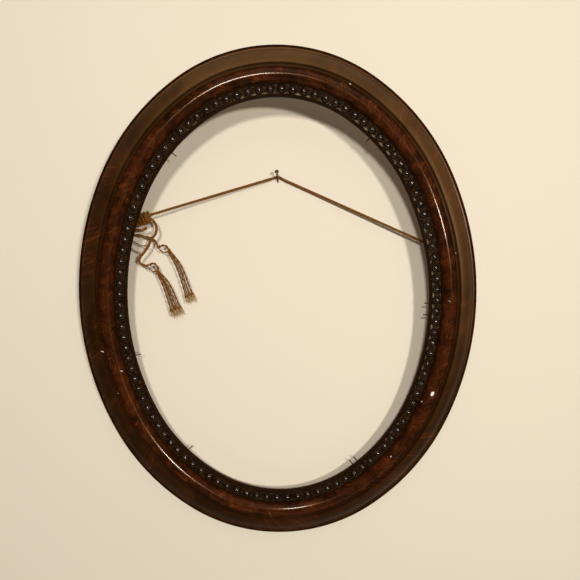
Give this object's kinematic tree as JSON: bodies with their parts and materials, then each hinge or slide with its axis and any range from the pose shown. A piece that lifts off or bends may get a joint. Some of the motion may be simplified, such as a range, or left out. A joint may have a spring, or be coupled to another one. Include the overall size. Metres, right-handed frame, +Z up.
{
  "type": "oval picture frame",
  "caption": "Oval wooden picture frame with a rounded outer edge, a raised burl rib and a beaded inner border, hung by a knotted cord over a wall nail.",
  "frame": {"origin": "the point on the wall nail where the cord hangs, on the nail's own axis", "axes": "+X to the right as seen from the front, +Z up, and the front of the frame faces -Y"},
  "size_m": [0.454, 0.06, 0.56],
  "materials": {
    "dark_wood": "dark stained wood with a satin varnish, worn on its edges",
    "burl_rib": "mottled red-brown burl under a high gloss varnish",
    "composition": "moulded composition, nearly black and glossy, worn on its points",
    "tongue_wood": "plain unfinished wood",
    "rusty_iron": "rusty drawn iron",
    "nail_iron": "dull dark iron",
    "eye_steel": "dull aged steel",
    "cord": "twisted golden-brown cord"
  },
  "bodies": {
    "nail": {"wall_nail": "nail_iron"},
    "cord": {"hanging_cord": "cord", "lashing_left": "cord", "lashing_right": "cord", "tail_strands_a": "cord", "tail_b": "cord", "tail_strands_b": "cord", "cord_stub": "cord", "loose_yarns": "cord"},
    "frame": {"moulding_top": "dark_wood", "moulding_top_right": "dark_wood", "moulding_right": "dark_wood", "moulding_bottom_right": "dark_wood", "moulding_bottom": "dark_wood", "moulding_bottom_left": "dark_wood", "moulding_left": "dark_wood", "moulding_top_left": "dark_wood", "rib_top": "burl_rib", "rib_top_right": "burl_rib", "rib_right": "burl_rib", "rib_bottom_right": "burl_rib", "rib_bottom": "burl_rib", "rib_bottom_left": "burl_rib", "rib_left": "burl_rib", "rib_top_left": "burl_rib", "beading_top": "composition", "beading_top_right": "composition", "beading_right": "composition", "beading_bottom_right": "composition", "beading_bottom": "composition", "beading_bottom_left": "composition", "beading_left": "composition", "beading_top_left": "composition", "loose_tongues": "tongue_wood", "brads": "rusty_iron", "screw_eye_left": "eye_steel", "screw_eye_right": "eye_steel"}
  },
  "joints": [
    {"name": "sway", "type": "hinge", "parent": "nail", "child": "cord", "pos_m": [0, 0, 0], "axis": [0, 1, 0], "range_deg": [-8, 8]},
    {"name": "tip", "type": "hinge", "parent": "cord", "child": "frame", "pos_m": [0.19964, -0.014, -0.09335], "axis": [-0.9958, 0, 0.0919], "range_deg": [0, 8]}
  ]
}
